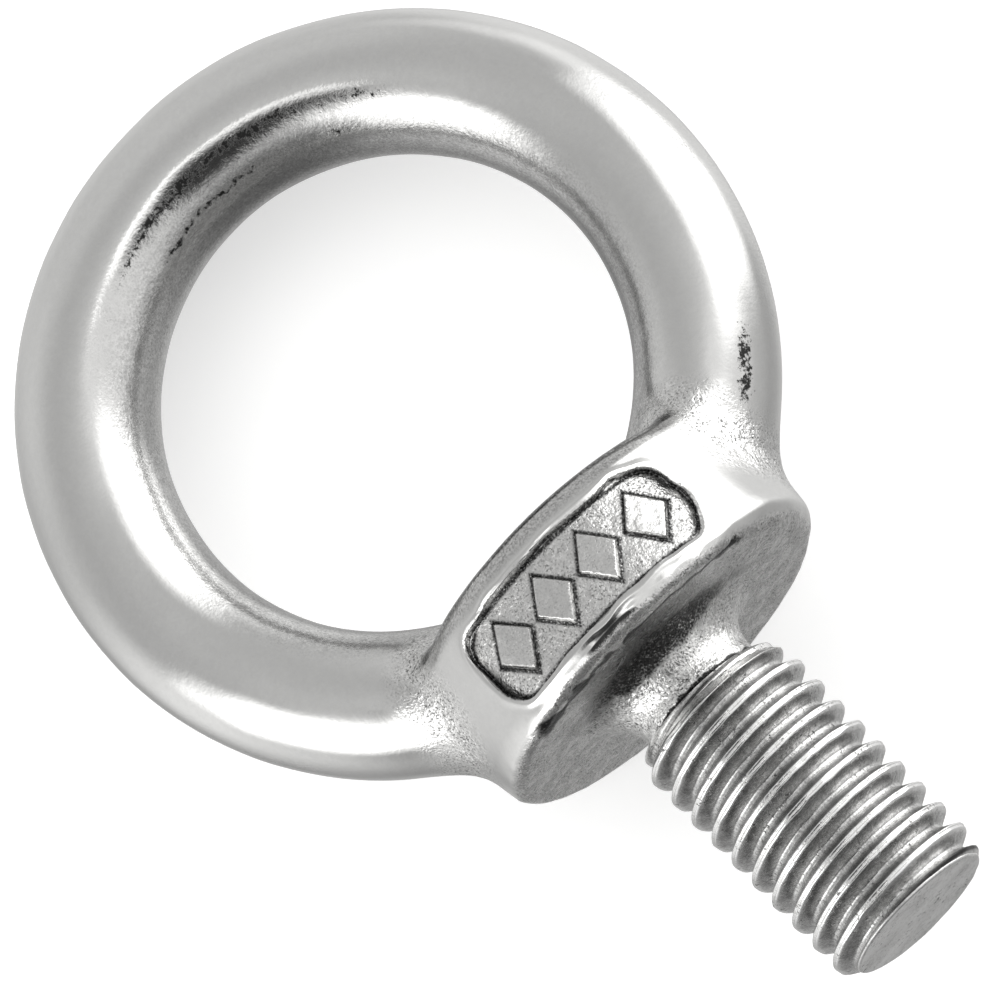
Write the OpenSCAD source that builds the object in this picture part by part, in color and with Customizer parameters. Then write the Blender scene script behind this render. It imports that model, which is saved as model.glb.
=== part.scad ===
// Lifting eye bolt, M10: one steel forging, split into its four sections.
// Origin: centre of the seat, the flat underside of the collar.
// +Z runs up through the ring, the thread points down, and the ring lies in the XZ plane.

/* [Ring] */
// Outside diameter of the ring
ring_outer_d = 41; // [39.5:0.1:41.4]
// Diameter of the ring's round bar
ring_bar_d = 7.7; // [7.2:0.1:8.2]
// Height of the ring's centre above the seat
ring_centre_h = 20.8; // [20.6:0.1:21.3]

/* [Collar] */
// Diameter of the collar just above the seat
collar_d = 21; // [20:0.1:23]
// How much the collar's wall draws in from bottom to top, in diameter
collar_draft = 0.9; // [0:0.1:1.4]
// Height of the collar
collar_h = 8.1; // [7.8:0.1:9]
// Radius of the collar's rounded top edge
top_edge_r = 1.2; // [0.5:0.1:1.5]
// Radius of the edge where the wall meets the seat
seat_edge_r = 0.4; // [0.2:0.1:0.8]

/* [Panel] */
// Width of the recessed panel in the collar's wall
panel_w = 13.6; // [11:0.1:15]
// Height of the recessed panel
panel_h = 5; // [4:0.1:5.4]
// Height of the panel's lower edge above the seat
panel_bottom = 1.3; // [1.1:0.1:1.6]
// Corner radius of the panel
panel_corner_r = 1.6; // [0.8:0.1:2]
// Depth of the panel below the wall
panel_depth = 0.45; // [0.3:0.05:0.6]
// Number of raised lozenges in the front panel
lozenge_count = 4; // [1:1:4]
// Width of a lozenge
lozenge_w = 2.5; // [1.5:0.1:2.8]
// Height of a lozenge
lozenge_h = 3.4; // [2:0.1:3.6]
// Gap between two lozenges
lozenge_gap = 0.6; // [0.3:0.1:0.8]
// How far the lozenges stand up from the panel's floor
lozenge_rise = 0.3; // [0.1:0.05:0.3]

/* [Neck] */
// Diameter of the relieved neck above the thread
neck_d = 7.3; // [6.6:0.1:7.8]
// Radius of the fillet between the seat and the neck
root_fillet_r = 2.3; // [1.5:0.1:2.4]
// Length from the seat to the first thread
neck_len = 3.05; // [2.8:0.05:4]

/* [Thread] */
// Thread diameter over the crests
thread_d = 9.85; // [9.75:0.01:9.96]
// Thread diameter at the roots
thread_root_d = 8.2; // [8.1:0.05:8.3]
// Distance between one crest and the next
thread_pitch = 1.5; // [1.5:0.05:1.6]
// Length from the seat to the tip of the thread
shank_len = 18.7; // [16:0.1:24]
// Length of the lead-in chamfer at the top of the thread
lead_in = 1; // [0.6:0.1:1.2]
// Length of the chamfer at the tip
tip_chamfer = 0.8; // [0.6:0.1:1]

/* [Hidden] */

ring_bar_r = ring_bar_d / 2;
ring_mid_r = ring_outer_d / 2 - ring_bar_r;
collar_r = collar_d / 2;
collar_top_r = collar_r - collar_draft / 2;
panel_mid_z = panel_bottom + panel_h / 2;
panel_floor_r = collar_r - collar_draft / 2 * panel_mid_z / collar_h - panel_depth;
lozenge_pitch = lozenge_w + lozenge_gap;
neck_r = neck_d / 2;
thread_r = thread_d / 2;
thread_root_r = thread_root_d / 2;

// The groove's flanks make 60 degrees with each other
flank_slope = tan(30);
root_flat = thread_pitch / 6;
// How far outside the crests the groove's cutting shape reaches
crest_clearance = 0.12;
groove_r = thread_r + crest_clearance;
groove_mouth = root_flat + 2 * (groove_r - thread_root_r) * flank_slope;
steps_per_turn = 20;
// Turns by which the groove's cutting shape starts above the thread and ends past its tip
turns_above = 1.18;
turns_past = 1;
groove_top_z = -neck_len + turns_above * thread_pitch;
groove_turns = ceil((shank_len - neck_len) / thread_pitch + turns_above + turns_past);
groove_steps = groove_turns * steps_per_turn;

steel = [0.74, 0.74, 0.73];
// Facets of a full circle in the quick preview
smooth = 96;
// Angle between two points of an arc in an outline
arc_step = 7.5;
// Overlap that keeps a cut or a joint clean
clean = 0.3;

// Points of a quarter circle about centre, from angle a0 to a1
function arc(centre, r, a0, a1) =
    [for (i = [0 : abs(a1 - a0) / arc_step])
        let (a = a0 + sign(a1 - a0) * i * arc_step)
        centre + r * [cos(a), sin(a)]];

// Half outline of the collar with its root fillet, as [radius, height]
function collar_outline() = concat(
    [[0, collar_h], [0, -root_fillet_r], [neck_r, -root_fillet_r]],
    arc([neck_r + root_fillet_r, -root_fillet_r], root_fillet_r, 180, 90),
    arc([collar_r - seat_edge_r, seat_edge_r], seat_edge_r, -90, 0),
    arc([collar_top_r - top_edge_r, collar_h - top_edge_r], top_edge_r, 0, 90)
);

// One cross-section of the thread groove at step i of the helix
function groove_section(i) =
    let (
        turn = i / steps_per_turn,
        a = 360 * turn,
        z = groove_top_z - thread_pitch * turn
    )
    [for (p = [
        [groove_r, groove_mouth / 2],
        [thread_root_r, root_flat / 2],
        [thread_root_r, -root_flat / 2],
        [groove_r, -groove_mouth / 2]
    ]) [p[0] * cos(a), -p[0] * sin(a), z + p[1]]];

module rounded_panel(w, h, r) {
    square([w - 2 * r, h], center = true);
    square([w, h - 2 * r], center = true);
    for (x = [-1, 1])
        for (y = [-1, 1])
            translate([x * (w / 2 - r), y * (h / 2 - r)]) circle(r = r, $fn = smooth);
}

// Everything between two radii that lies within a flat shape seen from the front
module wall_patch(r_in, r_out) {
    intersection() {
        difference() {
            cylinder(r = r_out, h = collar_h, $fn = smooth);
            translate([0, 0, -clean])
                cylinder(r = r_in, h = collar_h + 2 * clean, $fn = smooth);
        }
        translate([0, 0, panel_mid_z]) rotate([90, 0, 0])
            linear_extrude(height = 2 * collar_r) children();
    }
}

module panel_recess() {
    wall_patch(panel_floor_r, collar_r + clean) rounded_panel(panel_w, panel_h, panel_corner_r);
}

module lozenges() {
    for (i = [0 : lozenge_count - 1]) {
        x = (i - (lozenge_count - 1) / 2) * lozenge_pitch;
        wall_patch(panel_floor_r - clean, panel_floor_r + lozenge_rise)
            translate([x, 0]) polygon([
                [-lozenge_w / 2, 0],
                [0, -lozenge_h / 2],
                [lozenge_w / 2, 0],
                [0, lozenge_h / 2]
            ]);
    }
}

module collar_blank() {
    rotate_extrude($fn = smooth) polygon(collar_outline());
}

module thread_groove() {
    last = groove_steps * 4;
    polyhedron(
        points = [for (i = [0 : groove_steps]) each groove_section(i)],
        faces = concat(
            [[0, 1, 2, 3]],
            [for (i = [0 : groove_steps - 1], k = [0 : 3])
                let (a = 4 * i + k, b = 4 * i + (k + 1) % 4)
                each [[a, b + 4, b], [a, a + 4, b + 4]]],
            [[last + 3, last + 2, last + 1, last]]
        )
    );
}

// The round eye, cut away where the collar stands
module lifting_ring() {
    color(steel)
    difference() {
        translate([0, 0, ring_centre_h]) rotate([90, 0, 0])
            rotate_extrude($fn = smooth) translate([ring_mid_r, 0])
                circle(r = ring_bar_r, $fn = smooth);
        collar_blank();
    }
}

// Collar with its flat seat, the root fillet below it and a recessed panel front and back
module collar() {
    color(steel) {
        difference() {
            collar_blank();
            panel_recess();
            rotate([0, 0, 180]) panel_recess();
        }
        lozenges();
    }
}

// Relieved length between the root fillet and the thread
module neck() {
    color(steel)
    translate([0, 0, -neck_len]) cylinder(r = neck_r, h = neck_len - root_fillet_r, $fn = smooth);
}

// Shank with a helical 60 degree thread, chamfered at both ends
module threaded_shank() {
    color(steel)
    difference() {
        rotate_extrude($fn = smooth) polygon([
            [0, -neck_len],
            [thread_r - lead_in, -neck_len],
            [thread_r, -neck_len - lead_in],
            [thread_r, -shank_len + tip_chamfer],
            [thread_r - tip_chamfer, -shank_len],
            [0, -shank_len]
        ]);
        thread_groove();
    }
}

lifting_ring();
collar();
neck();
threaded_shank();
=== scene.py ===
"""Looks of the M10 lifting eye bolt: one polished steel forging with a rolled thread.

Mesh code works in millimetres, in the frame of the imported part: the origin is the centre of the
seat, +Z runs up through the ring, and the raised lozenges face -Y.
"""
import math

import bpy
import bmesh
import numpy as np
from mathutils import Matrix, Vector


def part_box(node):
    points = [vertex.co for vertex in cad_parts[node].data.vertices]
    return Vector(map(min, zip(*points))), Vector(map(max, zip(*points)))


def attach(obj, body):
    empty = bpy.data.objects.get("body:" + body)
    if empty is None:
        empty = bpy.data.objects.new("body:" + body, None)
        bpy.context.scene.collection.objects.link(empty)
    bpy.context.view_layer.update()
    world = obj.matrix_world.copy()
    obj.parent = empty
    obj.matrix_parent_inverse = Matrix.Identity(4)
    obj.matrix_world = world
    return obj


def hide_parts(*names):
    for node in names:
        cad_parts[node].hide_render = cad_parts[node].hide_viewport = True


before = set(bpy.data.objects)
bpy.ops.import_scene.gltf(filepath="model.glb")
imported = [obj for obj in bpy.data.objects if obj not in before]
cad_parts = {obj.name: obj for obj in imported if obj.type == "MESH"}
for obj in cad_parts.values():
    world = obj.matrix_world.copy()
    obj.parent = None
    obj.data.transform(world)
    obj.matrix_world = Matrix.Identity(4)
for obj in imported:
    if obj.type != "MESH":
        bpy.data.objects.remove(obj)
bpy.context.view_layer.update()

MM = 0.001
TAU = 2 * math.pi
DEGREES = 180 / math.pi


# ---------------------------------------------------------------- dimensions

def node_box(name):
    """Lowest and highest corner of a CAD node, in millimetres."""
    return [np.array(corner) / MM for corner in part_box(name)]


ring_low, ring_high = node_box("lifting_ring")
collar_low, collar_high = node_box("collar")
neck_low, neck_high = node_box("neck")
shank_low, shank_high = node_box("threaded_shank")

BAR_R = (ring_high[1] - ring_low[1]) / 2
RING_R = (ring_high[0] - ring_low[0]) / 2 - BAR_R
RING_X = -0.18
RING_Z = ring_high[2] - RING_R - BAR_R
COLLAR_R = (collar_high[0] - collar_low[0]) / 2
COLLAR_TOP = collar_high[2]
NECK_R = (neck_high[0] - neck_low[0]) / 2
NECK_TOP = neck_high[2]
NECK_END = neck_low[2]
CREST_R = (shank_high[0] - shank_low[0]) / 2
TIP_Z = shank_low[2]

# Collar: its wall curls in above the seat
COLLAR_DRAFT = 0.055
TOP_EDGE_R = 1.2
SEAT_EDGE_R = 0.6
ROOT_FILLET_R = -NECK_TOP
WALL_PROUD = 0.08
RIM_CURL = 0.10
RIM_CURL_H = 1.6
# The collar's end at +X stands prouder and has a rounder seat edge
RIGHT_END_PROUD = 0.28
RIGHT_EDGE_MORE = 0.5
# The ring's feet meet the collar at its sides, between these distances from the middle
SIDE_START = 5.0
SIDE_FULL = 9.0
# How far the ring blends into the collar, at the sides and over the top
SIDE_BLEND = 3.4
TOP_BLEND = 0.5
# Grid cell of the collar's mesh, and where the ring's mesh takes over from it
FORGING_CELL = 0.115
STUB_ANGLE = math.radians(47)
# A point this near a plane counts as on it
ON_PLANE = 1e-4
# The collar's front and back wall fades in between these distances from the middle
WALL_START = 4.0
WALL_FULL = 5.5

# Panel in the collar's wall
PANEL_W = 13.6
PANEL_H = 5.0
PANEL_MID_Z = 3.8
PANEL_CORNER_R = 1.6
PANEL_DEPTH = 0.5
PANEL_EDGE = 0.22
LOZENGES = 4
LOZENGE_W = 2.5
LOZENGE_H = 3.4
LOZENGE_PITCH = 3.1
LOZENGE_RISE = 0.36
LOZENGE_EDGE = 0.2
# The panel's edge wanders, and has a worn lip outside and pebbles on its floor
PANEL_WANDER = 0.06
LIP_RISE = 0.05
LIP_OUT = 0.32
LIP_W = 0.16
PEBBLE_RISE = 0.005

# Faint waves of hand finishing, long and short, and the lumps of the grainy skin
FINISH_LONG = 0.016
FINISH_SHORT = 0.004
SKIN_LUMPS = 0.004

# Dents in the seat's edge
RIM_DENT = 0.022
RIM_DENT_SIZE = 0.5
RIM_DENT_Z = 0.1
RIM_REACH = 1.2

# Painted dark line along the front of the seat, further out towards the sides: partly the seat's edge
# with the forged rim, partly a painted dark reflection
SEAM_R = 8.9
SEAM_BEND = 0.018
SEAM_FROM_RIM = 0.3
SEAM_W = 0.22

# Painted shade beside the root fillet, for the shade under the collar, darkest along a bent line across
# the seat
UNDERSIDE_SHADE_Y = 4.5
UNDERSIDE_SHADE_BEND = 0.05
UNDERSIDE_SHADE_REACH_FRONT = 1.9
UNDERSIDE_SHADE_REACH_BACK = 0.65
UNDERSIDE_SHADE_HALF_W = 5.4

# Thread
PITCH = 1.5
ROOT_R = 4.1
ROOT_FLAT = PITCH / 5.2
FLANK_SLOPE = 1 / math.tan(math.radians(30))
GROOVE_Z = NECK_END + 1.18 * PITCH
SHOULDER_IN = 0.5
SHOULDER_H = 0.45
SHOULDER_TAPER = 0.15
CREST_TILT = 0.2
CREST_ROUND = 0.13
CREST_SEAM = 0.02
CREST_SEAM_W = 0.05
ROOT_ROUND = 0.22
SHOULDER_ROUND = 0.12
CHAMFER_ROUND = 0.14
# How uneven the flanks, the crests and the two ends' edges are
FLANK_WAVES = 0.012
CREST_WAVES = 0.010
END_WAVES = 0.02
TIP_CHAMFER = 0.75
TIP_ROUND = 0.16
TIP_HOLLOW = 0.02
STEPS_PER_TURN = 168
ROWS_PER_PITCH = 28
ROW_CROWDING = 0.055
# Points this near an end of the shank are moved onto its edge
END_MARGIN = 1e-3
# The neck narrows by this much over the last stretch before the thread
NECK_RELIEF = 0.12
NECK_RELIEF_H = 0.45


# ---------------------------------------------------------------- fields

def smooth_step(low, high, value):
    """0 below low, 1 above high and an S curve in between; low may be the greater one."""
    t = np.clip((value - low) / (high - low), 0, 1)
    return t * t * (3 - 2 * t)


def soft_min(a, b, reach):
    """The lesser of a and b, blended where they are within reach of each other."""
    h = np.maximum(reach - np.abs(a - b), 0) / reach
    return np.minimum(a, b) - h ** 3 * reach / 6


def soft_max(a, b, reach):
    """The greater of a and b, blended in the same way."""
    return -soft_min(-a, -b, reach)


def bell(value, width, power=2):
    """1 where the value is 0, falling off to either side over the width."""
    return np.exp(-np.abs(value / width) ** power)


def round_both(a, b, radius):
    """Where two shapes overlap, with their shared edge rounded."""
    corner = np.hypot(np.maximum(a + radius, 0), np.maximum(b + radius, 0))
    return np.minimum(np.maximum(a, b), -radius) + corner


def fillet_either(a, b, radius):
    """Two shapes joined with a round fillet."""
    corner = np.hypot(np.maximum(radius - a, 0), np.maximum(radius - b, 0))
    return np.maximum(np.minimum(a, b), radius) - corner


def waves(p, wavelength, seed, count=14):
    """A smooth random field about one unit high, the same on every run."""
    rng = np.random.default_rng(seed)
    directions = rng.normal(size=(count, 3))
    directions /= np.linalg.norm(directions, axis=1)[:, None]
    lengths = wavelength * rng.uniform(0.7, 1.5, count)
    phases = rng.uniform(0, TAU, count)
    total = np.zeros(p.shape[:-1], np.float32)
    for direction, length, phase in zip(directions, lengths, phases):
        total += np.sin((p @ (direction * TAU / length) + phase).astype(np.float32))
    return total * math.sqrt(2 / count)


def ring_field(p):
    """Distance outside the whole ring."""
    x, y, z = p[..., 0] - RING_X, p[..., 1], p[..., 2] - RING_Z
    return np.hypot(np.hypot(x, z) - RING_R, y) - BAR_R


def collar_field(p):
    """Distance outside the tapered collar, with the root fillet that runs into the neck."""
    rho = np.hypot(p[..., 0], p[..., 1])
    z = p[..., 2]
    wall = rho - (COLLAR_R + WALL_PROUD - COLLAR_DRAFT * z)
    wall += RIM_CURL * np.maximum(RIM_CURL_H - z, 0) ** 2
    right_end = smooth_step(SIDE_START, SIDE_FULL, p[..., 0])
    wall = wall - RIGHT_END_PROUD * right_end
    seat_edge = SEAT_EDGE_R + RIGHT_EDGE_MORE * right_end
    body = round_both(round_both(wall, z - COLLAR_TOP, TOP_EDGE_R), -z, seat_edge)
    core = np.maximum(rho - NECK_R, z - COLLAR_TOP / 2)
    return fillet_either(body, core, ROOT_FILLET_R)


def on_wall(p):
    """1 on the front and back of the collar's wall, 0 nearer the middle."""
    return smooth_step(WALL_START, WALL_FULL, np.abs(p[..., 1]))


def panel_distance(p):
    """How far a point is outside the panel's outline, seen from the front."""
    dx = np.abs(p[..., 0]) - PANEL_W / 2 + PANEL_CORNER_R
    dz = np.abs(p[..., 2] - PANEL_MID_Z) - PANEL_H / 2 + PANEL_CORNER_R
    outside = np.hypot(np.maximum(dx, 0), np.maximum(dz, 0))
    return outside + np.minimum(np.maximum(dx, dz), 0) - PANEL_CORNER_R


def lozenge_distance(p):
    """How far a point is outside the nearest lozenge, seen from the front."""
    half = (LOZENGES - 1) / 2
    nearest = np.clip(np.round(p[..., 0] / LOZENGE_PITCH + half), 0, LOZENGES - 1) - half
    dx = np.abs(p[..., 0] - nearest * LOZENGE_PITCH)
    dz = np.abs(p[..., 2] - PANEL_MID_Z)
    side = math.hypot(LOZENGE_W, LOZENGE_H) / 2
    return (dx * LOZENGE_H + dz * LOZENGE_W - LOZENGE_W * LOZENGE_H / 2) / (2 * side)


def panel_relief(p):
    """Depth taken off the wall by the panels, less what the lozenges and the worn lip add."""
    distance = panel_distance(p) + PANEL_WANDER * waves(p, 2.2, 11)
    depth = PANEL_DEPTH * smooth_step(PANEL_EDGE / 2, -PANEL_EDGE / 2, distance)
    lip = LIP_RISE * bell(distance - LIP_OUT, LIP_W)
    on_front = p[..., 1] < 0
    raised = smooth_step(LOZENGE_EDGE / 2, -LOZENGE_EDGE / 2, lozenge_distance(p))
    raised = LOZENGE_RISE * raised * on_front
    floor = smooth_step(0, -0.3, distance)
    pebbles = PEBBLE_RISE * waves(p, 0.6, 12) * floor
    return on_wall(p) * (depth - raised - lip - pebbles)


def forging_detail(p):
    """Small departures from the drawn shape: panels, waves of hand finishing, lumps and rim dents."""
    hand_finish = FINISH_LONG * waves(p, 6.5, 21) + FINISH_SHORT * waves(p, 2.4, 22)
    detail = hand_finish + SKIN_LUMPS * waves(p, 0.9, 23) * cast_amount(p)
    at_panel = (np.abs(p[..., 1]) > WALL_START) & (panel_distance(p) < 1.0)
    detail[at_panel] += panel_relief(p[at_panel])
    at_rim = np.abs(p[..., 2]) < RIM_REACH
    rho = np.hypot(p[at_rim][:, 0], p[at_rim][:, 1])
    off_rim = (rho - COLLAR_R) / RIM_DENT_SIZE
    off_seat = (p[at_rim][:, 2] - RIM_DENT_Z) / RIM_DENT_SIZE
    rim = np.exp(-off_rim ** 2 - off_seat ** 2)
    detail[at_rim] += RIM_DENT * rim * waves(p[at_rim], 1.6, 24)
    return detail


def forging_field(p):
    """Signed distance, nearly, to the forged ring, collar and neck."""
    ring = ring_field(p)
    collar = collar_field(p)
    side = smooth_step(SIDE_START, SIDE_FULL, np.abs(p[..., 0]))
    blend = TOP_BLEND + (SIDE_BLEND - TOP_BLEND) * side
    base = soft_min(ring, collar, blend)
    near = np.abs(base) < 1.0
    base[near] += forging_detail(p[near])
    return base


def ring_angles(p):
    """Degrees round the ring from +X, and round its bar from the outside by the front."""
    x, y, z = p[..., 0] - RING_X, p[..., 1], p[..., 2] - RING_Z
    return np.degrees(np.arctan2(z, x)), np.degrees(np.arctan2(-y, np.hypot(x, z) - RING_R))


def ring_grain(p):
    """Grain left on the ring: a streak along its front, a patch near one foot, the bore and the rim."""
    angle, section = ring_angles(p)
    above = smooth_step(COLLAR_TOP - 1, COLLAR_TOP + 2, p[..., 2])
    streak = smooth_step(30, 50, angle) * smooth_step(160, 120, angle) * bell(section - 118, 14)
    patch = bell(angle + 8, 12) * bell(section - 45, 12)
    bore = smooth_step(105, 140, np.abs(section)) * above
    rim = smooth_step(30, 5, np.abs(section)) * above
    return np.maximum.reduce((0.15 * streak, 0.6 * patch, 0.2 * bore, 0.2 * rim))


def cast_amount(p):
    """1 where the forging's skin was left grainy, 0 where it is polished."""
    z = p[..., 2]
    to_both = np.maximum(ring_field(p), collar_field(p))
    blends = smooth_step(2.6, 0.6, to_both) * smooth_step(0.0, 1.5, z)
    under = smooth_step(0.5, 0.1, z)
    floor = smooth_step(0.15, -0.15, panel_distance(p)) * on_wall(p)
    worn_tops = smooth_step(0.1, -0.1, lozenge_distance(p)) * (p[..., 1] < 0)
    floor *= 1 - 0.6 * worn_tops
    return np.clip(np.maximum.reduce((blends, under, 0.8 * floor, ring_grain(p))), 0, 1)


def panel_painted_shade(p):
    """Painted shade at the foot of the panel's edge and round the lozenges."""
    corner = bell(panel_distance(p) + 0.12, 0.13)
    foot = bell(lozenge_distance(p) - 0.1, 0.11) * (p[..., 1] < 0)
    return on_wall(p) * np.maximum(corner, foot)


def seat_painted_shade(p):
    """Painted shade on the seat: the broken dark line along its front, partly its edge with the forged
    rim and partly a painted dark reflection, and a patch beside the root fillet that stands in for the
    shade under the collar.
    """
    x, y, z = p[..., 0], p[..., 1], p[..., 2]
    ragged = waves(p, 1.0, 41)
    # Painted dark line along the seat's front, partly its edge with the forged rim, partly a painted
    # dark reflection
    bend = np.minimum(SEAM_R + SEAM_BEND * x ** 2, COLLAR_R - SEAM_FROM_RIM)
    off_seam = np.hypot(x, y) - (bend + 0.12 * ragged)
    seam = 1.4 * bell(off_seam, SEAM_W + SEAM_W * smooth_step(0, -2, x), 4) * smooth_step(-3, -5.5, y)
    seam *= smooth_step(-7.3, -6.3, x) * smooth_step(7.8, 6.4, x)
    seam *= smooth_step(-1.3, -0.2, ragged + 0.05 * (3 - x)) * smooth_step(0.6, 0.3, z)
    # Painted shade under the collar, beside the root fillet
    off_ridge = y + UNDERSIDE_SHADE_Y - UNDERSIDE_SHADE_BEND * x ** 2 + 0.12 * ragged
    reach = np.where(off_ridge < 0, UNDERSIDE_SHADE_REACH_FRONT, UNDERSIDE_SHADE_REACH_BACK)
    ridge = 0.97 * bell(off_ridge, reach, 3)
    wash = 0.6 * smooth_step(0.3, -0.8, off_ridge) * smooth_step(0.4, -0.4, off_seam)
    wash *= bell(x, 4.6, 4)
    underside_shade = np.maximum(ridge, wash) * bell(x - 0.4, UNDERSIDE_SHADE_HALF_W, 3)
    underside_shade *= smooth_step(0.4, 0.1, z) * smooth_step(-1.2, -0.7, z)
    return np.maximum(seam, underside_shade)


def top_painted_shade(p):
    """Painted shade on the collar's top near its edge, away from the ring's feet, and a little below
    it.
    """
    z = p[..., 2]
    ring = ring_field(p)
    rho = np.hypot(p[..., 0], p[..., 1])
    top = smooth_step(COLLAR_TOP - 0.6, COLLAR_TOP - 0.3, z) * smooth_step(0.5, 1.5, ring)
    shoulder = smooth_step(COLLAR_TOP - 1.6, COLLAR_TOP - 0.8, z) * smooth_step(0.8, 2.5, ring)
    rim = 0.1 + 0.8 * smooth_step(COLLAR_R - 2.6, COLLAR_R - 1.8, rho)
    return np.maximum(rim * top, 0.35 * shoulder) * smooth_step(COLLAR_TOP + 1.5, COLLAR_TOP, z)


def painted_shade_amount(p):
    """1 or more where shade is painted: round the panel and lozenges, on the seat and at the collar's
    top edge.
    """
    return np.maximum.reduce((panel_painted_shade(p), seat_painted_shade(p), top_painted_shade(p)))


def gradient(field, p, step=2e-3):
    """Slope of a field by central differences."""
    slopes = []
    for axis in np.eye(3):
        slopes.append((field(p + step * axis) - field(p - step * axis)) / (2 * step))
    return np.stack(slopes, axis=-1)


def settle(field, p, plane=None, rounds=3, step=1e-3):
    """Moves points onto the field's zero surface, staying in the plane with that normal if given."""
    for _ in range(rounds):
        value = field(p)
        g = np.stack([(field(p + step * axis) - value) / step for axis in np.eye(3)], axis=-1)
        if plane is not None:
            g -= (g @ plane)[:, None] * plane
        p = p - (value / np.maximum((g * g).sum(-1), 1e-3))[:, None] * g
    return p


# ---------------------------------------------------------------- meshes

def net_surface(field, low, high, cell):
    """Quads on the zero surface of a field inside a box: one point per cell that it crosses."""
    counts = np.ceil((high - low) / cell).astype(int) + 1
    axes = [low[i] + cell * np.arange(counts[i]) for i in range(3)]
    grid = np.stack(np.meshgrid(*axes, indexing="ij"), axis=-1)
    values = field(grid)
    inside = values < 0
    crossing_sum = np.zeros(tuple(counts - 1) + (3,))
    crossings = np.zeros(tuple(counts - 1))
    for axis in range(3):
        a = np.moveaxis(values, axis, 0)
        t = a[:-1] / np.where(a[:-1] == a[1:], 1, a[:-1] - a[1:])
        crossed = np.moveaxis(inside, axis, 0)
        crossed = crossed[:-1] != crossed[1:]
        start = np.moveaxis(grid, axis, 0)[:-1]
        point = start + cell * t[..., None] * np.eye(3)[axis]
        point = np.moveaxis(np.where(crossed[..., None], point, 0), 0, axis)
        crossed = np.moveaxis(crossed, 0, axis)
        others = [i for i in range(3) if i != axis]
        for shift in ((0, 0), (0, 1), (1, 0), (1, 1)):
            window = [slice(None)] * 3
            for other, s in zip(others, shift):
                window[other] = slice(s, counts[other] - 1 + s)
            crossing_sum += point[tuple(window)]
            crossings += crossed[tuple(window)]
    used = crossings > 0
    index = np.full(used.shape, -1)
    index[used] = np.arange(used.sum())
    points = crossing_sum[used] / crossings[used][:, None]
    quads = []
    for axis in range(3):
        u, v = (axis + 1) % 3, (axis + 2) % 3
        window = [slice(None)] * 3
        window[u] = slice(1, counts[u] - 1)
        window[v] = slice(1, counts[v] - 1)
        first, second = list(window), list(window)
        first[axis] = slice(0, counts[axis] - 1)
        second[axis] = slice(1, counts[axis])
        here, there = inside[tuple(first)], inside[tuple(second)]
        where = np.argwhere(here != there)
        where[:, u] += 1
        where[:, v] += 1
        outward = here[here != there]
        corners = []
        for du, dv in ((-1, -1), (0, -1), (0, 0), (-1, 0)):
            cell_at = where.copy()
            cell_at[:, u] += du
            cell_at[:, v] += dv
            corners.append(index[tuple(cell_at.T)])
        faces = np.stack(corners, axis=-1)
        faces[~outward] = faces[~outward][:, ::-1]
        quads.append(faces)
    return points, np.concatenate(quads)


def mesh_object(name, points, faces):
    """A new object from points in millimetres and faces."""
    mesh = bpy.data.meshes.new(name)
    mesh.from_pydata((points * MM).tolist(), [], faces)
    piece = bpy.data.objects.new(name, mesh)
    bpy.context.scene.collection.objects.link(piece)
    return piece


def mesh_points(mesh):
    """The mesh's points, in millimetres."""
    co = np.empty(len(mesh.vertices) * 3)
    mesh.vertices.foreach_get("co", co)
    return co.reshape(-1, 3) / MM


def set_mesh_points(mesh, points):
    """Moves the mesh's points to these places, in millimetres."""
    mesh.vertices.foreach_set("co", (points * MM).astype(np.float32).ravel())
    mesh.update()


def cut_and_cap(mesh, planes):
    """Cuts a mesh by planes, given as (point, outward normal), and closes each cut with a flat face."""
    bm = bmesh.new()
    bm.from_mesh(mesh)
    for point, normal in planes:
        geometry = bm.verts[:] + bm.edges[:] + bm.faces[:]
        bmesh.ops.bisect_plane(bm, geom=geometry, dist=1e-8, plane_co=Vector(point) * MM,
                               plane_no=Vector(normal), clear_outer=True)
    rims = [e for e in bm.edges if len(e.link_faces) == 1]
    bmesh.ops.holes_fill(bm, edges=rims, sides=0)
    bm.to_mesh(mesh)
    bm.free()


def shade(piece, normals, flat_faces):
    """Smooth shading with the given point normals, and each face of flat_faces shaded flat."""
    mesh = piece.data
    mesh.polygons.foreach_set("use_smooth", np.ones(len(mesh.polygons), bool))
    corner_points = np.empty(len(mesh.loops), int)
    mesh.loops.foreach_get("vertex_index", corner_points)
    corner_normals = normals[corner_points]
    for index in flat_faces:
        face = mesh.polygons[index]
        loops = slice(face.loop_start, face.loop_start + face.loop_total)
        corner_normals[loops] = face.normal
    mesh.normals_split_custom_set(corner_normals.tolist())


def unit(vectors):
    """The vectors, each scaled to length 1."""
    return vectors / np.linalg.norm(vectors, axis=-1)[..., None]


def store(piece, name, values):
    """Keeps one value per point, under a name that the materials read."""
    layer = piece.data.attributes.new(name, "FLOAT", "POINT")
    layer.data.foreach_set("value", np.asarray(values, np.float32))


def finish_forging(piece, planes):
    """Puts a forged piece's points on the true surface, then shades and marks it."""
    mesh = piece.data
    points = mesh_points(mesh)
    held = np.zeros(len(points), bool)
    for point, normal in planes:
        normal = np.array(normal)
        on_plane = np.abs((points - np.array(point)) @ normal) < ON_PLANE
        points[on_plane] = settle(forging_field, points[on_plane], plane=normal)
        held |= on_plane
    points[~held] = settle(forging_field, points[~held], rounds=1)
    set_mesh_points(mesh, points)
    normals = unit(gradient(forging_field, points))
    caps = [f.index for f in mesh.polygons if all(held[v] for v in f.vertices)]
    shade(piece, normals, caps)
    store(piece, "cast", cast_amount(points))
    store(piece, "painted_shade", painted_shade_amount(points))


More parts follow.
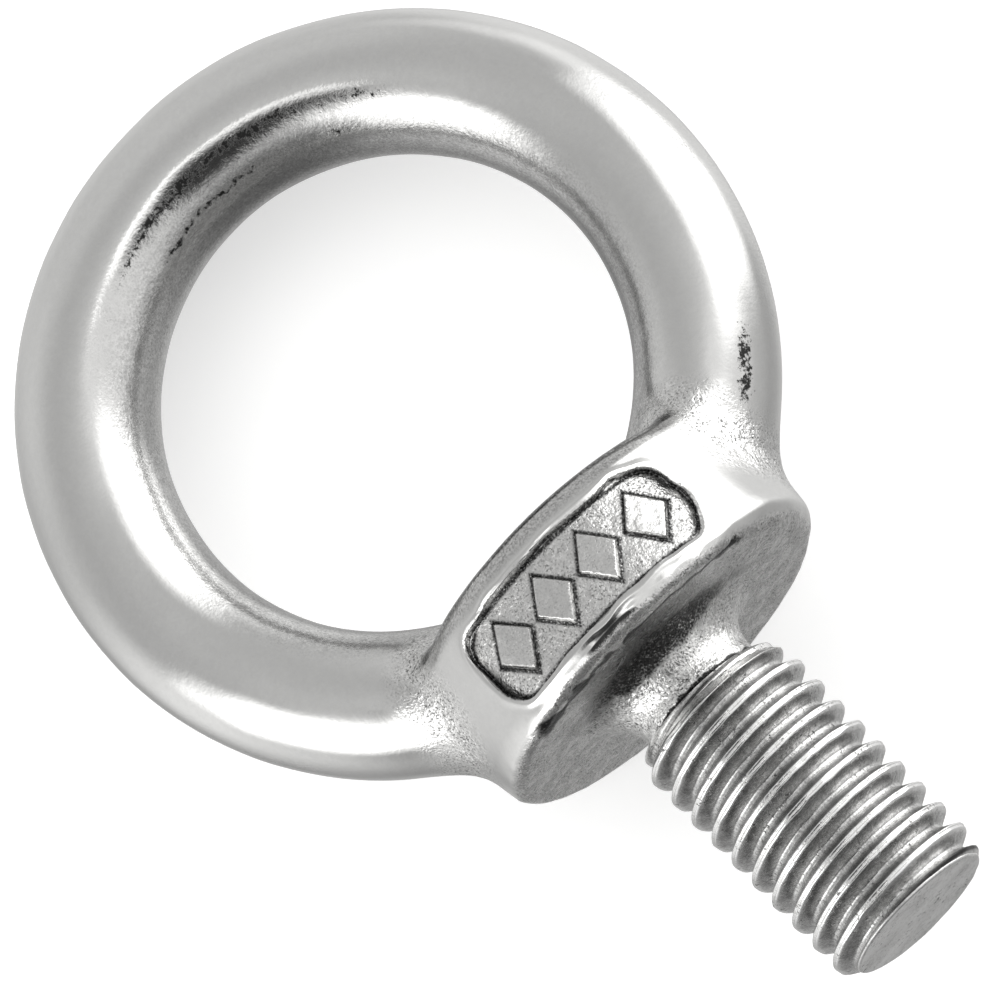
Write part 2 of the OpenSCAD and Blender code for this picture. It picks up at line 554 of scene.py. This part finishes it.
def stub_plane(side):
    """Radial plane of the ring where the lower part of the ring ends, and its normal up the ring."""
    out = np.array([side * math.sin(STUB_ANGLE), 0, -math.cos(STUB_ANGLE)])
    along = np.array([side * math.cos(STUB_ANGLE), 0, math.sin(STUB_ANGLE)])
    return np.array([RING_X, 0, RING_Z]) + RING_R * out, along


def build_collar():
    """The collar with the foot of the ring on each side and the root fillet below."""
    reach = RING_R + BAR_R
    low = np.array([-reach * math.sin(STUB_ANGLE) - 1, -COLLAR_R - 0.5, NECK_TOP - 0.5])
    top = RING_Z - (RING_R - BAR_R) * math.cos(STUB_ANGLE) + 2
    high = np.array([-low[0], -low[1], top])
    points, quads = net_surface(forging_field, low, high, FORGING_CELL)
    points = settle(forging_field, points, rounds=2)
    piece = mesh_object("collar_forging", points, quads.tolist())
    planes = [stub_plane(1), stub_plane(-1), (np.array([0, 0, NECK_TOP]), np.array([0, 0, -1]))]
    cut_and_cap(piece.data, planes)
    finish_forging(piece, planes)
    return piece


def tube_faces(rows, columns):
    """Quads of a tube of rows of points, each row a closed loop, with a face over each end."""
    faces = []
    for r in range(rows - 1):
        for c in range(columns):
            n = (c + 1) % columns
            faces.append([r * columns + c, r * columns + n,
                          (r + 1) * columns + n, (r + 1) * columns + c])
    faces.append(list(range(columns))[::-1])
    faces.append([(rows - 1) * columns + c for c in range(columns)])
    return faces


def build_ring(rows=300, columns=84):
    """The ring above its two feet, swept round from one radial plane to the other."""
    start = -math.pi / 2 + STUB_ANGLE
    sweep = np.linspace(start, math.pi - start, rows)
    section = np.linspace(0, TAU, columns, endpoint=False)
    a, s = np.meshgrid(sweep, section, indexing="ij")
    rho = RING_R + BAR_R * np.cos(s)
    x = RING_X + rho * np.cos(a)
    points = np.stack([x, BAR_R * np.sin(s), RING_Z + rho * np.sin(a)], axis=-1)
    piece = mesh_object("ring_forging", points.reshape(-1, 3), tube_faces(rows, columns))
    finish_forging(piece, [stub_plane(1), stub_plane(-1)])
    return piece


def build_neck(rows=16, columns=160):
    """The short neck between the root fillet and the thread, relieved where the thread starts."""
    z = np.linspace(NECK_TOP, NECK_END, rows)
    angle = np.linspace(0, TAU, columns, endpoint=False)
    zz, aa = np.meshgrid(z, angle, indexing="ij")
    points = np.stack([NECK_R * np.cos(aa), NECK_R * np.sin(aa), zz], axis=-1).reshape(-1, 3)
    points = settle(forging_field, points, plane=np.array([0, 0, 1.0]))
    relief = NECK_RELIEF * smooth_step(NECK_END + NECK_RELIEF_H, NECK_END, points[:, 2])
    points[:, :2] *= (1 - relief / NECK_R)[:, None]
    faces = [face[::-1] for face in tube_faces(rows, columns)]
    piece = mesh_object("neck_forging", points, faces)
    normals = gradient(forging_field, points)
    normals[:, 2] -= 0.8 * smooth_step(NECK_END + NECK_RELIEF_H, NECK_END + 0.1, points[:, 2])
    shade(piece, unit(normals), [len(faces) - 2, len(faces) - 1])
    store(piece, "cast", np.ones(len(points)))
    # Painted shade in the neck's relief, where the thread starts
    ragged = 0.05 * waves(points, 0.9, 42)
    store(piece, "painted_shade", smooth_step(NECK_END + 0.38, NECK_END + 0.26, points[:, 2] + ragged))
    return piece


def above_groove(angle, z):
    """Height above the nearest turn of the groove's centre line, in millimetres."""
    rise = (z - GROOVE_Z - PITCH * angle / TAU) / PITCH
    return (rise - np.round(rise)) * PITCH


def thread_radius(angle, z):
    """Radius of the threaded shank at an angle and a height."""
    above = above_groove(angle, z)
    off_groove = np.abs(above)
    off_crest = np.where(above > 0, above - PITCH / 2, above + PITCH / 2)
    p = np.stack([CREST_R * np.cos(angle), CREST_R * np.sin(angle), z], axis=-1)
    flank = ROOT_R + (off_groove - ROOT_FLAT / 2) * FLANK_SLOPE
    flank = flank + FLANK_WAVES * waves(p, 1.4, 31)
    groove = soft_max(flank, np.full_like(flank, ROOT_R), ROOT_ROUND)
    crest = CREST_R - 0.03 + CREST_WAVES * waves(p, 1.1, 32) + CREST_TILT * off_crest
    seam = CREST_SEAM * bell(off_groove - PITCH / 2, CREST_SEAM_W)
    radius = soft_min(groove, crest, CREST_ROUND) - seam
    depth = NECK_END - z
    lead = CREST_R - SHOULDER_IN - SHOULDER_TAPER * np.minimum(depth, SHOULDER_H)
    lead = lead + np.maximum(depth - SHOULDER_H, 0)
    tip = CREST_R - TIP_CHAMFER + (z - TIP_Z)
    radius = soft_min(radius, lead + END_WAVES * waves(p, 1.7, 33), SHOULDER_ROUND)
    return soft_min(radius, tip + END_WAVES * waves(p, 1.7, 34), CHAMFER_ROUND)


def thread_points(angle, z):
    """Points of the threaded surface at angles and heights."""
    radius = thread_radius(angle, z)
    return np.stack([radius * np.cos(angle), radius * np.sin(angle), z], axis=-1)


def thread_rows():
    """Heights of the mesh rows within one pitch, closer together at the crest and its edges."""
    t = np.arange(ROWS_PER_PITCH) / ROWS_PER_PITCH
    return PITCH * (t + ROW_CROWDING * np.sin(TAU * t))


def build_thread():
    """A helical grid that follows the thread, and the loops of points at its lower and upper end."""
    top = NECK_END
    bottom = TIP_Z + TIP_ROUND
    turns = math.ceil((top - bottom) / PITCH) + 2
    heights = (np.arange(turns)[:, None] * PITCH + thread_rows()[None]).ravel()
    heights += GROOVE_Z - PITCH * math.ceil((GROOVE_Z - bottom) / PITCH + 1)
    n_rows = len(heights)
    step = np.arange(STEPS_PER_TURN)
    angle = TAU * step / STEPS_PER_TURN
    z = heights[:, None] + PITCH * step[None] / STEPS_PER_TURN
    aa = np.broadcast_to(angle, z.shape)
    inside = (z > bottom + END_MARGIN) & (z < top - END_MARGIN)
    index = np.where(inside, np.cumsum(inside.ravel()).reshape(z.shape) - 1, -1)
    points = [thread_points(aa[inside], z[inside])]
    count = int(inside.sum())
    low_loop = count + step
    high_loop = count + STEPS_PER_TURN + step
    points.append(thread_points(angle, np.full_like(angle, bottom)))
    points.append(thread_points(angle, np.full_like(angle, top)))
    index = np.where(z <= bottom + END_MARGIN, low_loop[None], index)
    index = np.where(z >= top - END_MARGIN, high_loop[None], index)
    faces = []
    for r in range(n_rows - 1):
        for c in range(STEPS_PER_TURN):
            if c + 1 < STEPS_PER_TURN:
                corners = [index[r, c], index[r, c + 1], index[r + 1, c + 1], index[r + 1, c]]
            elif r + 1 + ROWS_PER_PITCH < n_rows:
                up = r + ROWS_PER_PITCH
                corners = [index[r, c], index[up, 0], index[up + 1, 0], index[r + 1, c]]
            else:
                continue
            kept = list(dict.fromkeys(int(i) for i in corners))
            if len(kept) > 2:
                faces.append(kept)
    return np.concatenate(points), faces, low_loop, high_loop


def thread_normals(angle, z, step=1e-3):
    """Outward normals of the threaded surface."""
    across = thread_points(angle + step, z) - thread_points(angle - step, z)
    along = thread_points(angle, z + step) - thread_points(angle, z - step)
    return unit(np.cross(across, along))


def close_end(points, faces, loop, profile, downward):
    """Lofts an end of the shank inward from a loop, through (inset, drop) steps, to its centre."""
    rim = points[loop]
    radius = np.hypot(rim[:, 0], rim[:, 1])
    rings = []
    previous = list(loop)
    total = len(points)
    n = len(loop)
    for inset, drop in profile:
        if inset < 1:
            scale = (radius - inset) / radius
        else:
            scale = np.full(n, 1 - inset / radius.mean())
        ring = rim.copy()
        ring[:, :2] *= scale[:, None]
        ring[:, 2] += drop
        rings.append(ring)
        current = list(range(total, total + n))
        total += n
        for c in range(n):
            d = (c + 1) % n
            quad = [previous[c], previous[d], current[d], current[c]]
            faces.append(quad if not downward else quad[::-1])
        previous = current
    centre = np.array([[0, 0, rim[:, 2].mean() + profile[-1][1]]])
    for c in range(n):
        d = (c + 1) % n
        tri = [previous[c], previous[d], total]
        faces.append(tri if not downward else tri[::-1])
    return np.concatenate([points, *rings, centre])


def mark_thread(piece, points, side_count, tip):
    """Marks the crests and shoulder, partly worn bright and partly a painted highlight, painted shade
    on the upper flanks, and the end face.
    """
    side = points[:side_count]
    z = points[:, 2]
    radius = np.hypot(points[:, 0], points[:, 1])
    # Crests and shoulder: partly worn bright, partly a painted highlight
    shoulder = smooth_step(NECK_END - 0.9, NECK_END - 0.7, z) * (radius > 4.3)
    wear_and_highlight = np.maximum(smooth_step(CREST_R - 0.34, CREST_R - 0.12, radius), shoulder)
    wear_and_highlight[tip] = 0
    store(piece, "crest", wear_and_highlight)
    angle = np.arctan2(side[:, 1], side[:, 0]) % TAU
    above = above_groove(angle, side[:, 2])
    # Painted shade on the upper flanks, just below each crest
    upper_flank = smooth_step(-0.63, -0.56, above) * smooth_step(-0.15, -0.4, above)
    flank_painted_shade = np.zeros(len(points))
    flank_painted_shade[:side_count] = upper_flank * (side[:, 2] < NECK_END - 0.7)
    store(piece, "painted_shade", flank_painted_shade)
    end_face = np.zeros(len(points))
    end_face[tip] = 1
    store(piece, "cast", end_face)


def build_shank():
    """The threaded shank, with its rounded tip and an end face that is slightly uneven."""
    points, faces, low_loop, high_loop = build_thread()
    side_count = len(points)
    arc = np.radians(np.linspace(20, 90, 5))
    round_tip = [(TIP_ROUND * (1 - math.cos(a)), -TIP_ROUND * math.sin(a)) for a in arc]
    face = [(inset, -TIP_ROUND) for inset in (0.35, 0.7, 1.1, 1.5, 1.9, 2.3, 2.7, 3.1, 3.5)]
    points = close_end(points, faces, low_loop, round_tip + face, downward=True)
    tip = slice(side_count, len(points))
    points = close_end(points, faces, high_loop, [(0.3, 0), (1.5, 0), (3.0, 0)], downward=False)
    inward = smooth_step(0.0, 0.5, CREST_R - TIP_CHAMFER - np.hypot(points[tip, 0], points[tip, 1]))
    points[tip, 2] += inward * (TIP_HOLLOW * (1 + waves(points[tip], 2.6, 35)) + 0.01)
    piece = mesh_object("thread_rolled", points, faces)
    normals = np.empty(len(points) * 3)
    piece.data.vertices.foreach_get("normal", normals)
    normals = normals.reshape(-1, 3)
    angle = np.arctan2(points[:side_count, 1], points[:side_count, 0]) % TAU
    normals[:side_count] = thread_normals(angle, points[:side_count, 2])
    shade(piece, normals, [])
    mark_thread(piece, points, side_count, tip)
    return piece


# ---------------------------------------------------------------- node helpers

class Number:
    """A shader number: arithmetic on it adds the math nodes that work it out."""

    def __init__(self, tree, socket):
        self.tree = tree
        self.socket = socket

    def math(self, operation, *others):
        node = self.tree.nodes.new("ShaderNodeMath")
        node.operation = operation
        for i, value in enumerate((self,) + others):
            link(self.tree, value, node.inputs[i])
        return Number(self.tree, node.outputs[0])

    def __add__(self, other):
        return self.math("ADD", other)

    def __sub__(self, other):
        return self.math("SUBTRACT", other)

    def __mul__(self, other):
        return self.math("MULTIPLY", other)

    def __truediv__(self, other):
        return self.math("DIVIDE", other)

    def __pow__(self, other):
        return self.math("POWER", other)

    def size(self):
        return self.math("ABSOLUTE")

    def degrees_from(self, middle):
        """How far the angle is from the middle, the shorter way round."""
        return (self - middle).math("WRAP", 180.0, -180.0).size()

    def less(self, amount, share=1.0):
        """The number without this share of it where amount is 1, and whole where it is 0."""
        return self * (amount * -share + 1.0)

    def ramp(self, low, high, start=0.0, end=1.0):
        """start where the number is at low, end where it is at high, and an S curve in between."""
        node = self.tree.nodes.new("ShaderNodeMapRange")
        node.interpolation_type = "SMOOTHSTEP"
        for i, value in enumerate((self, low, high, start, end)):
            link(self.tree, value, node.inputs[i])
        return Number(self.tree, node.outputs[0])


def link(tree, value, socket):
    """Feeds a socket from a Number or another socket, or sets it to a plain value."""
    if isinstance(value, Number):
        tree.links.new(value.socket, socket)
    elif isinstance(value, bpy.types.NodeSocket):
        tree.links.new(value, socket)
    else:
        socket.default_value = value


# ---------------------------------------------------------------- materials

# Tones of the satin forging and the thread's flanks, and what crests and end face add to these; the
# crests' share is partly wear and partly a painted highlight
SATIN_TONE = 0.78
FLANK_TONE = 0.61
CREST_WEAR_AND_HIGHLIGHT = 0.42
FACE_ADDS = 0.44
# The share of a tone that is lost to each kind of mark
# Painted shade: the share of tone lost in the shaded marks round the panel, on the seat, at the
# collar's top edge and in the neck's relief
PAINTED_SHADE_TAKES = 0.94
SCALE_TAKES = 0.95
PITS_TAKE = 0.7
NICKS_TAKE = 0.8
FLANK_SHADE_TAKES = 0.85
# Black scale: the two lines by their angle round the bar, the patch by both of its angles
SCALE_LINE = 112.0
SCALE_BROKEN_LINE = 140.0
SCALE_PATCH = (-44.0, 48.0)
# Slight tint of the steel and the studio's light
TINT = (1.0, 0.998, 0.99)


def object_millimetres(tree):
    """The object's own coordinates, in millimetres."""
    place = tree.nodes.new("ShaderNodeTexCoord")
    scale = tree.nodes.new("ShaderNodeVectorMath")
    scale.operation = "SCALE"
    scale.inputs["Scale"].default_value = 1 / MM
    tree.links.new(place.outputs["Object"], scale.inputs[0])
    return scale.outputs[0]


def ring_coordinates(tree, where):
    """Angle round the ring from +X, angle round its bar from the outside by the front, and height."""
    split = tree.nodes.new("ShaderNodeSeparateXYZ")
    tree.links.new(where, split.inputs[0])
    x, y, z = (Number(tree, split.outputs[i]) for i in range(3))
    across, up = x - RING_X, z - RING_Z
    from_bar = (across * across + up * up) ** 0.5 - RING_R
    angle = up.math("ARCTAN2", across) * DEGREES
    section = (y * -1.0).math("ARCTAN2", from_bar) * DEGREES
    return angle, section, z


def noise(tree, where, wavelength, detail=2.0, roughness=0.5):
    """Random field about 0.5, with its wavelength in millimetres."""
    node = tree.nodes.new("ShaderNodeTexNoise")
    tree.links.new(where, node.inputs["Vector"])
    node.inputs["Scale"].default_value = 1 / wavelength
    node.inputs["Detail"].default_value = detail
    node.inputs["Roughness"].default_value = roughness
    return Number(tree, node.outputs["Fac"])


def attribute(tree, name):
    """The values that store() left on the mesh under this name."""
    node = tree.nodes.new("ShaderNodeAttribute")
    node.attribute_name = name
    return Number(tree, node.outputs["Fac"])


def grey(tree, value):
    """A nearly neutral colour of this brightness."""
    node = tree.nodes.new("ShaderNodeCombineColor")
    for i, tint in enumerate(TINT):
        link(tree, value * tint, node.inputs[i])
    return node.outputs[0]


def bump(tree, height):
    """Normals of a surface raised by a height in millimetres."""
    node = tree.nodes.new("ShaderNodeBump")
    node.inputs["Strength"].default_value = 1.0
    node.inputs["Distance"].default_value = MM
    link(tree, height, node.inputs["Height"])
    return node.outputs[0]


def new_material(name):
    """A metal, with its node tree and its shader."""
    material = bpy.data.materials.new(name)
    material.use_nodes = True
    tree = material.node_tree
    shader = tree.nodes["Principled BSDF"]
    shader.inputs["Metallic"].default_value = 1.0
    return material, tree, shader


def mill_scale(tree, angle, section):
    """Black ragged remains of scale: two lines along the ring's top and a patch near one foot."""
    where = object_millimetres(tree)
    wander = (noise(tree, where, 1.5, 3.0, 0.7) - 0.5) * 12.0
    specks = noise(tree, where, 0.34, 5.0, 0.75) * 2.6 - 0.3
    section = section + wander
    top = angle.ramp(36.0, 52.0) * angle.ramp(122.0, 106.0)
    thick = angle.ramp(55.0, 75.0, 0.62, 1.0) * angle.ramp(112.0, 92.0, 0.7, 1.0)
    line = (section - SCALE_LINE).size().ramp(8.0, 1.0) * top * thick * 0.72
    breaks = noise(tree, where, 1.6, 1.0).ramp(0.42, 0.56)
    broken = (section - SCALE_BROKEN_LINE).size().ramp(6.0, 0.5) * top * breaks * 0.6
    patch_angle, patch_section = SCALE_PATCH
    patch = (angle - patch_angle).size().ramp(11.0, 2.0)
    patch = patch * (section - patch_section).size().ramp(11.0, 2.0) * 0.66
    amount = line.math("MAXIMUM", broken.math("MAXIMUM", patch))
    return (amount + specks).ramp(1.42, 1.72) * amount.ramp(0.0, 0.15)


def forged_steel(name):
    """Satin stainless steel, grainy where cast is 1 and darkened by painted shade where the shaded
    marks are 1; the bore carries painted shade too.
    """
    material, tree, shader = new_material(name)
    where = object_millimetres(tree)
    angle, section, height = ring_coordinates(tree, where)
    scale = mill_scale(tree, angle, section)
    bore = section.size().ramp(114.0, 138.0) * height.ramp(COLLAR_TOP, COLLAR_TOP + 2)
    patches = noise(tree, where, 1.1, 3.0).ramp(0.36, 0.62)
    grainy = attribute(tree, "cast") * (patches * 0.6 + 0.5)
    fine = noise(tree, where, 0.10, 1.0, 0.5)
    medium = noise(tree, where, 0.22, 1.0, 0.5)
    mottle = noise(tree, where, 0.45, 3.0, 0.65)
    pits = noise(tree, where, 0.12, 1.0, 0.5).ramp(0.45, 0.33)
    speckle = noise(tree, where, 0.13, 2.0, 0.6) - 0.5

    satin = (mottle - 0.5) * (grainy * 0.45 + 0.08 + bore * 0.30)
    satin = satin + speckle * (grainy * 1.3 + 0.05 + bore * 0.6)
    tone = (satin + SATIN_TONE).less(grainy * pits, PITS_TAKE)
    # Painted shade round the panel, on the seat, at the collar's top edge and in the neck's relief
    painted_shade = (attribute(tree, "painted_shade") * (speckle * 3.2 + 1.05)).ramp(0.0, 1.0)
    tone = tone.less(painted_shade, PAINTED_SHADE_TAKES).less(scale, SCALE_TAKES)
    # Painted shade: the bore is darkened away from its left side, and its back edge round the bottom,
    # standing in for the shadowed table that it reflects
    bore_shade = angle.degrees_from(160.0).ramp(40.0, 85.0, 0.08, 0.34)
    tone = tone.less(bore * bore_shade)
    lower = angle.degrees_from(262.0).ramp(140.0, 60.0, 0.0, 0.55)
    tone = tone.less(section.size().ramp(147.0, 160.0) * lower)
    link(tree, grey(tree, tone), shader.inputs["Base Color"])

    smears = noise(tree, where, 2.5, 4.0, 0.6)
    roughness = smears * 0.05 + 0.10 + grainy * 0.20 + bore * 0.08 + scale * 0.3
    link(tree, roughness, shader.inputs["Roughness"])
    texture = fine * 0.024 + medium * 0.048 - pits * 0.012
    relief = grainy * texture + medium * 0.0025 + mottle * 0.004
    link(tree, bump(tree, relief), shader.inputs["Normal"])
    return material


def rolled_steel(name):
    """Steel of the thread: crests lighter, partly wear and partly a painted highlight, painted shade on
    the upper flanks, and nicks; cast marks its end face.
    """
    material, tree, shader = new_material(name)
    where = object_millimetres(tree)
    crest = attribute(tree, "crest")
    face = attribute(tree, "cast")
    fine = noise(tree, where, 0.13, 2.0, 0.6)
    nicks = noise(tree, where, 0.24, 3.0, 0.7).ramp(0.43, 0.34)
    nicks = nicks * noise(tree, where, 1.6, 2.0).ramp(0.45, 0.6)
    blotches = noise(tree, where, 0.7, 3.0, 0.6)

    # Crests lighter than the flanks: partly wear, partly a painted highlight
    tone = crest * CREST_WEAR_AND_HIGHLIGHT + FLANK_TONE + (blotches - 0.5) * 0.6 + face * FACE_ADDS
    tone = tone - face * blotches.ramp(0.46, 0.6) * 0.24
    tone = (tone + (fine - 0.5) * 0.8).less(nicks, NICKS_TAKE)
    # Painted shade on the upper flanks
    tone = tone.less(attribute(tree, "painted_shade"), FLANK_SHADE_TAKES)
    link(tree, grey(tree, tone), shader.inputs["Base Color"])

    roughness = blotches * 0.12 + 0.18 - crest * 0.04 + face * 0.10
    link(tree, roughness, shader.inputs["Roughness"])
    height = fine * 0.012 + blotches * 0.014 - nicks * 0.02 + face * blotches * 0.03
    link(tree, bump(tree, height), shader.inputs["Normal"])
    return material


# ---------------------------------------------------------------- studio

# What the studio holds, by direction in degrees from the bolt: azimuth 0 is towards the camera
# and 90 is to the right. Azimuth, elevation, half width, half height, border and light.
LAMPS = {
    "right_softbox": (75, 4, 34, 20, 0.45, 1.9),
    "left_softbox": (-64, -18, 24, 20, 0.45, 1.9),
    "floor_bounce": (48, -26, 84, 40, 0.8, 0.41),
    "left_screen": (-103, -8, 28, 26, 0.8, 0.6),
    "right_screen": (116, 22, 44, 24, 0.4, 0.32),
    "right_wall": (97, 40, 14, 18, 0.8, 0.2),
    "left_wall": (-85, 36, 32, 24, 0.8, 0.11),
    "below_lens": (-5, -7, 14, 7, 0.3, 2.0),
    "lit_floor": (14, -34, 64, 36, 0.2, 0.24),
    "back_wall": (180, -16, 40, 12, 0.6, 0.17),
    "table_behind": (178, 17, 25, 24, 0.6, 0.14),
    "wall_behind": (180, 48, 50, 20, 0.6, 0.07),
}
# The dark front of the camera in the same terms; it takes this share of the light
CAMERA_FRONT = (-9, -28, 18, 26, 0.4)
CAMERA_SHADE = 0.96

# Light by elevation, as two elevations in degrees and the light at each. The first is the
# room's own and the next two are shares of it; matt surfaces see only the last.
ROOM_LIGHT = (10.0, 63.0, 0.38, 0.62)
BELOW_HORIZON = (-20.0, 8.0, 0.48, 1.0)
UNDERFOOT = (-78.0, -55.0, 0.8, 1.0)
MATT_LIGHT = (-10.0, 70.0, 0.6, 4.4)

# Table, in millimetres, with its whiteness and a glow of its own
TABLE_HALF = 300
TABLE_GAP = 0.05
TABLE_WHITE = 0.78
TABLE_GLOW = 0.46

# Camera, in millimetres and degrees
CAMERA_TARGET = (-0.273, 0.0, 12.928)
CAMERA_DISTANCE = 388.6
CAMERA_AZIMUTH = 1.667
CAMERA_ELEVATION = -17.067
CAMERA_ROLL = -44.631
CAMERA_LENS = 272.5


def softbox(azimuth, elevation, centre_az, centre_el, half_width, half_height, border):
    """1 inside a rounded patch of directions, fading to 0 over its border."""
    across = azimuth.degrees_from(centre_az) / half_width
    up = (elevation - centre_el).size() / half_height
    shape = (across ** 3.0 + up ** 3.0) ** (1 / 3)
    return shape.ramp(1 + border, 1 - border)


def build_world():
    """Grey studio, darker below, with its lamps and the camera's dark front; white to the camera."""
    world = bpy.data.worlds.new("studio")
    bpy.context.scene.world = world
    world.use_nodes = True
    tree = world.node_tree
    tree.nodes.clear()
    place = tree.nodes.new("ShaderNodeTexCoord")
    split = tree.nodes.new("ShaderNodeSeparateXYZ")
    tree.links.new(place.outputs["Generated"], split.inputs[0])
    x, y, z = (Number(tree, split.outputs[i]) for i in range(3))
    azimuth = x.math("ARCTAN2", y * -1.0) * DEGREES
    elevation = z.math("ARCSINE") * DEGREES
    room = elevation.ramp(*ROOM_LIGHT) * elevation.ramp(*BELOW_HORIZON) * elevation.ramp(*UNDERFOOT)
    for *patch, light in LAMPS.values():
        room = room + softbox(azimuth, elevation, *patch) * light
    room = room.less(softbox(azimuth, elevation, *CAMERA_FRONT), CAMERA_SHADE)
    path = tree.nodes.new("ShaderNodeLightPath")
    matt = Number(tree, path.outputs["Is Diffuse Ray"])
    room = room.less(matt) + elevation.ramp(*MATT_LIGHT) * matt
    lit = tree.nodes.new("ShaderNodeBackground")
    link(tree, grey(tree, room), lit.inputs["Color"])
    backdrop = tree.nodes.new("ShaderNodeBackground")
    backdrop.inputs["Color"].default_value = (1, 1, 1, 1)
    output = tree.nodes.new("ShaderNodeOutputWorld")
    mixed = mix_shaders(tree, path.outputs["Is Camera Ray"], lit, backdrop)
    tree.links.new(mixed, output.inputs["Surface"])


def mix_shaders(tree, share, first, second):
    """The first shader where share is 0 and the second where it is 1."""
    mix = tree.nodes.new("ShaderNodeMixShader")
    tree.links.new(share, mix.inputs[0])
    tree.links.new(first.outputs[0], mix.inputs[1])
    tree.links.new(second.outputs[0], mix.inputs[2])
    return mix.outputs[0]


def table_tilt():
    """Tilt of a table that touches the collar's rim and the back of the ring's top, in radians."""
    tilt = 0.0
    for _ in range(30):
        gap = COLLAR_R * math.cos(tilt) - (RING_Z + RING_R) * math.sin(tilt) - BAR_R
        tilt += gap / (RING_Z + RING_R)
    return tilt


def table_material():
    """Matt white that glows a little, and is clear from behind."""
    material = bpy.data.materials.new("table_white")
    material.use_nodes = True
    tree = material.node_tree
    tree.nodes.clear()
    matt = tree.nodes.new("ShaderNodeBsdfDiffuse")
    matt.inputs["Color"].default_value = (TABLE_WHITE, TABLE_WHITE, TABLE_WHITE, 1)
    glow = tree.nodes.new("ShaderNodeEmission")
    glow.inputs["Strength"].default_value = TABLE_GLOW
    white = tree.nodes.new("ShaderNodeAddShader")
    tree.links.new(matt.outputs[0], white.inputs[0])
    tree.links.new(glow.outputs[0], white.inputs[1])
    clear = tree.nodes.new("ShaderNodeBsdfTransparent")
    side = tree.nodes.new("ShaderNodeNewGeometry")
    output = tree.nodes.new("ShaderNodeOutputMaterial")
    mixed = mix_shaders(tree, side.outputs["Backfacing"], white, clear)
    tree.links.new(mixed, output.inputs["Surface"])
    return material


def build_table():
    """White table that the bolt lies on, left out of its reflections."""
    tilt = table_tilt()
    normal = Vector((0, -math.cos(tilt), -math.sin(tilt)))
    contact = Vector((0, COLLAR_R, 0))
    side = Vector((1, 0, 0))
    up = normal.cross(side)
    middle = contact - normal * TABLE_GAP
    corners = []
    for a, b in ((-1, -1), (1, -1), (1, 1), (-1, 1)):
        corners.append(list(middle + side * TABLE_HALF * a + up * TABLE_HALF * b))
    table = mesh_object("table", np.array(corners), [[0, 1, 2, 3]])
    if table.data.polygons[0].normal.dot(normal) < 0:
        table.data.flip_normals()
    table.visible_glossy = False
    table.data.materials.append(table_material())


def build_camera():
    """Long lens from the front and a little below, rolled so that the ring is at the upper left."""
    azimuth, elevation = math.radians(CAMERA_AZIMUTH), math.radians(CAMERA_ELEVATION)
    flat = math.cos(elevation)
    back = Vector((math.sin(azimuth) * flat, -math.cos(azimuth) * flat, math.sin(elevation)))
    data = bpy.data.cameras.new("camera")
    data.sensor_width = 36
    data.lens = CAMERA_LENS
    data.clip_start = 0.01
    data.clip_end = 10
    camera = bpy.data.objects.new("camera", data)
    bpy.context.scene.collection.objects.link(camera)
    turn = back.to_track_quat("Z", "Y").to_matrix().to_4x4()
    turn = turn @ Matrix.Rotation(math.radians(CAMERA_ROLL), 4, "Z")
    place = Matrix.Translation((Vector(CAMERA_TARGET) + back * CAMERA_DISTANCE) * MM)
    camera.matrix_world = place @ turn
    bpy.context.scene.camera = camera


# ---------------------------------------------------------------- assembly

def place(piece, node, slot, material):
    """Gives a piece its material, hides the CAD node that it stands for and attaches it to the root
    body; slot is not used.
    """
    piece.data.materials.append(material)
    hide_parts(node)
    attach(piece, "root")


build_camera()
build_world()
build_table()
bpy.context.scene.view_settings.view_transform = "Standard"

forged = forged_steel("forged_stainless_steel")
rolled = rolled_steel("rolled_stainless_steel")
place(build_ring(), "lifting_ring", "polished_steel", forged)
place(build_collar(), "collar", "polished_steel", forged)
place(build_neck(), "neck", "cast_steel", forged)
place(build_shank(), "threaded_shank", "machined_steel", rolled)
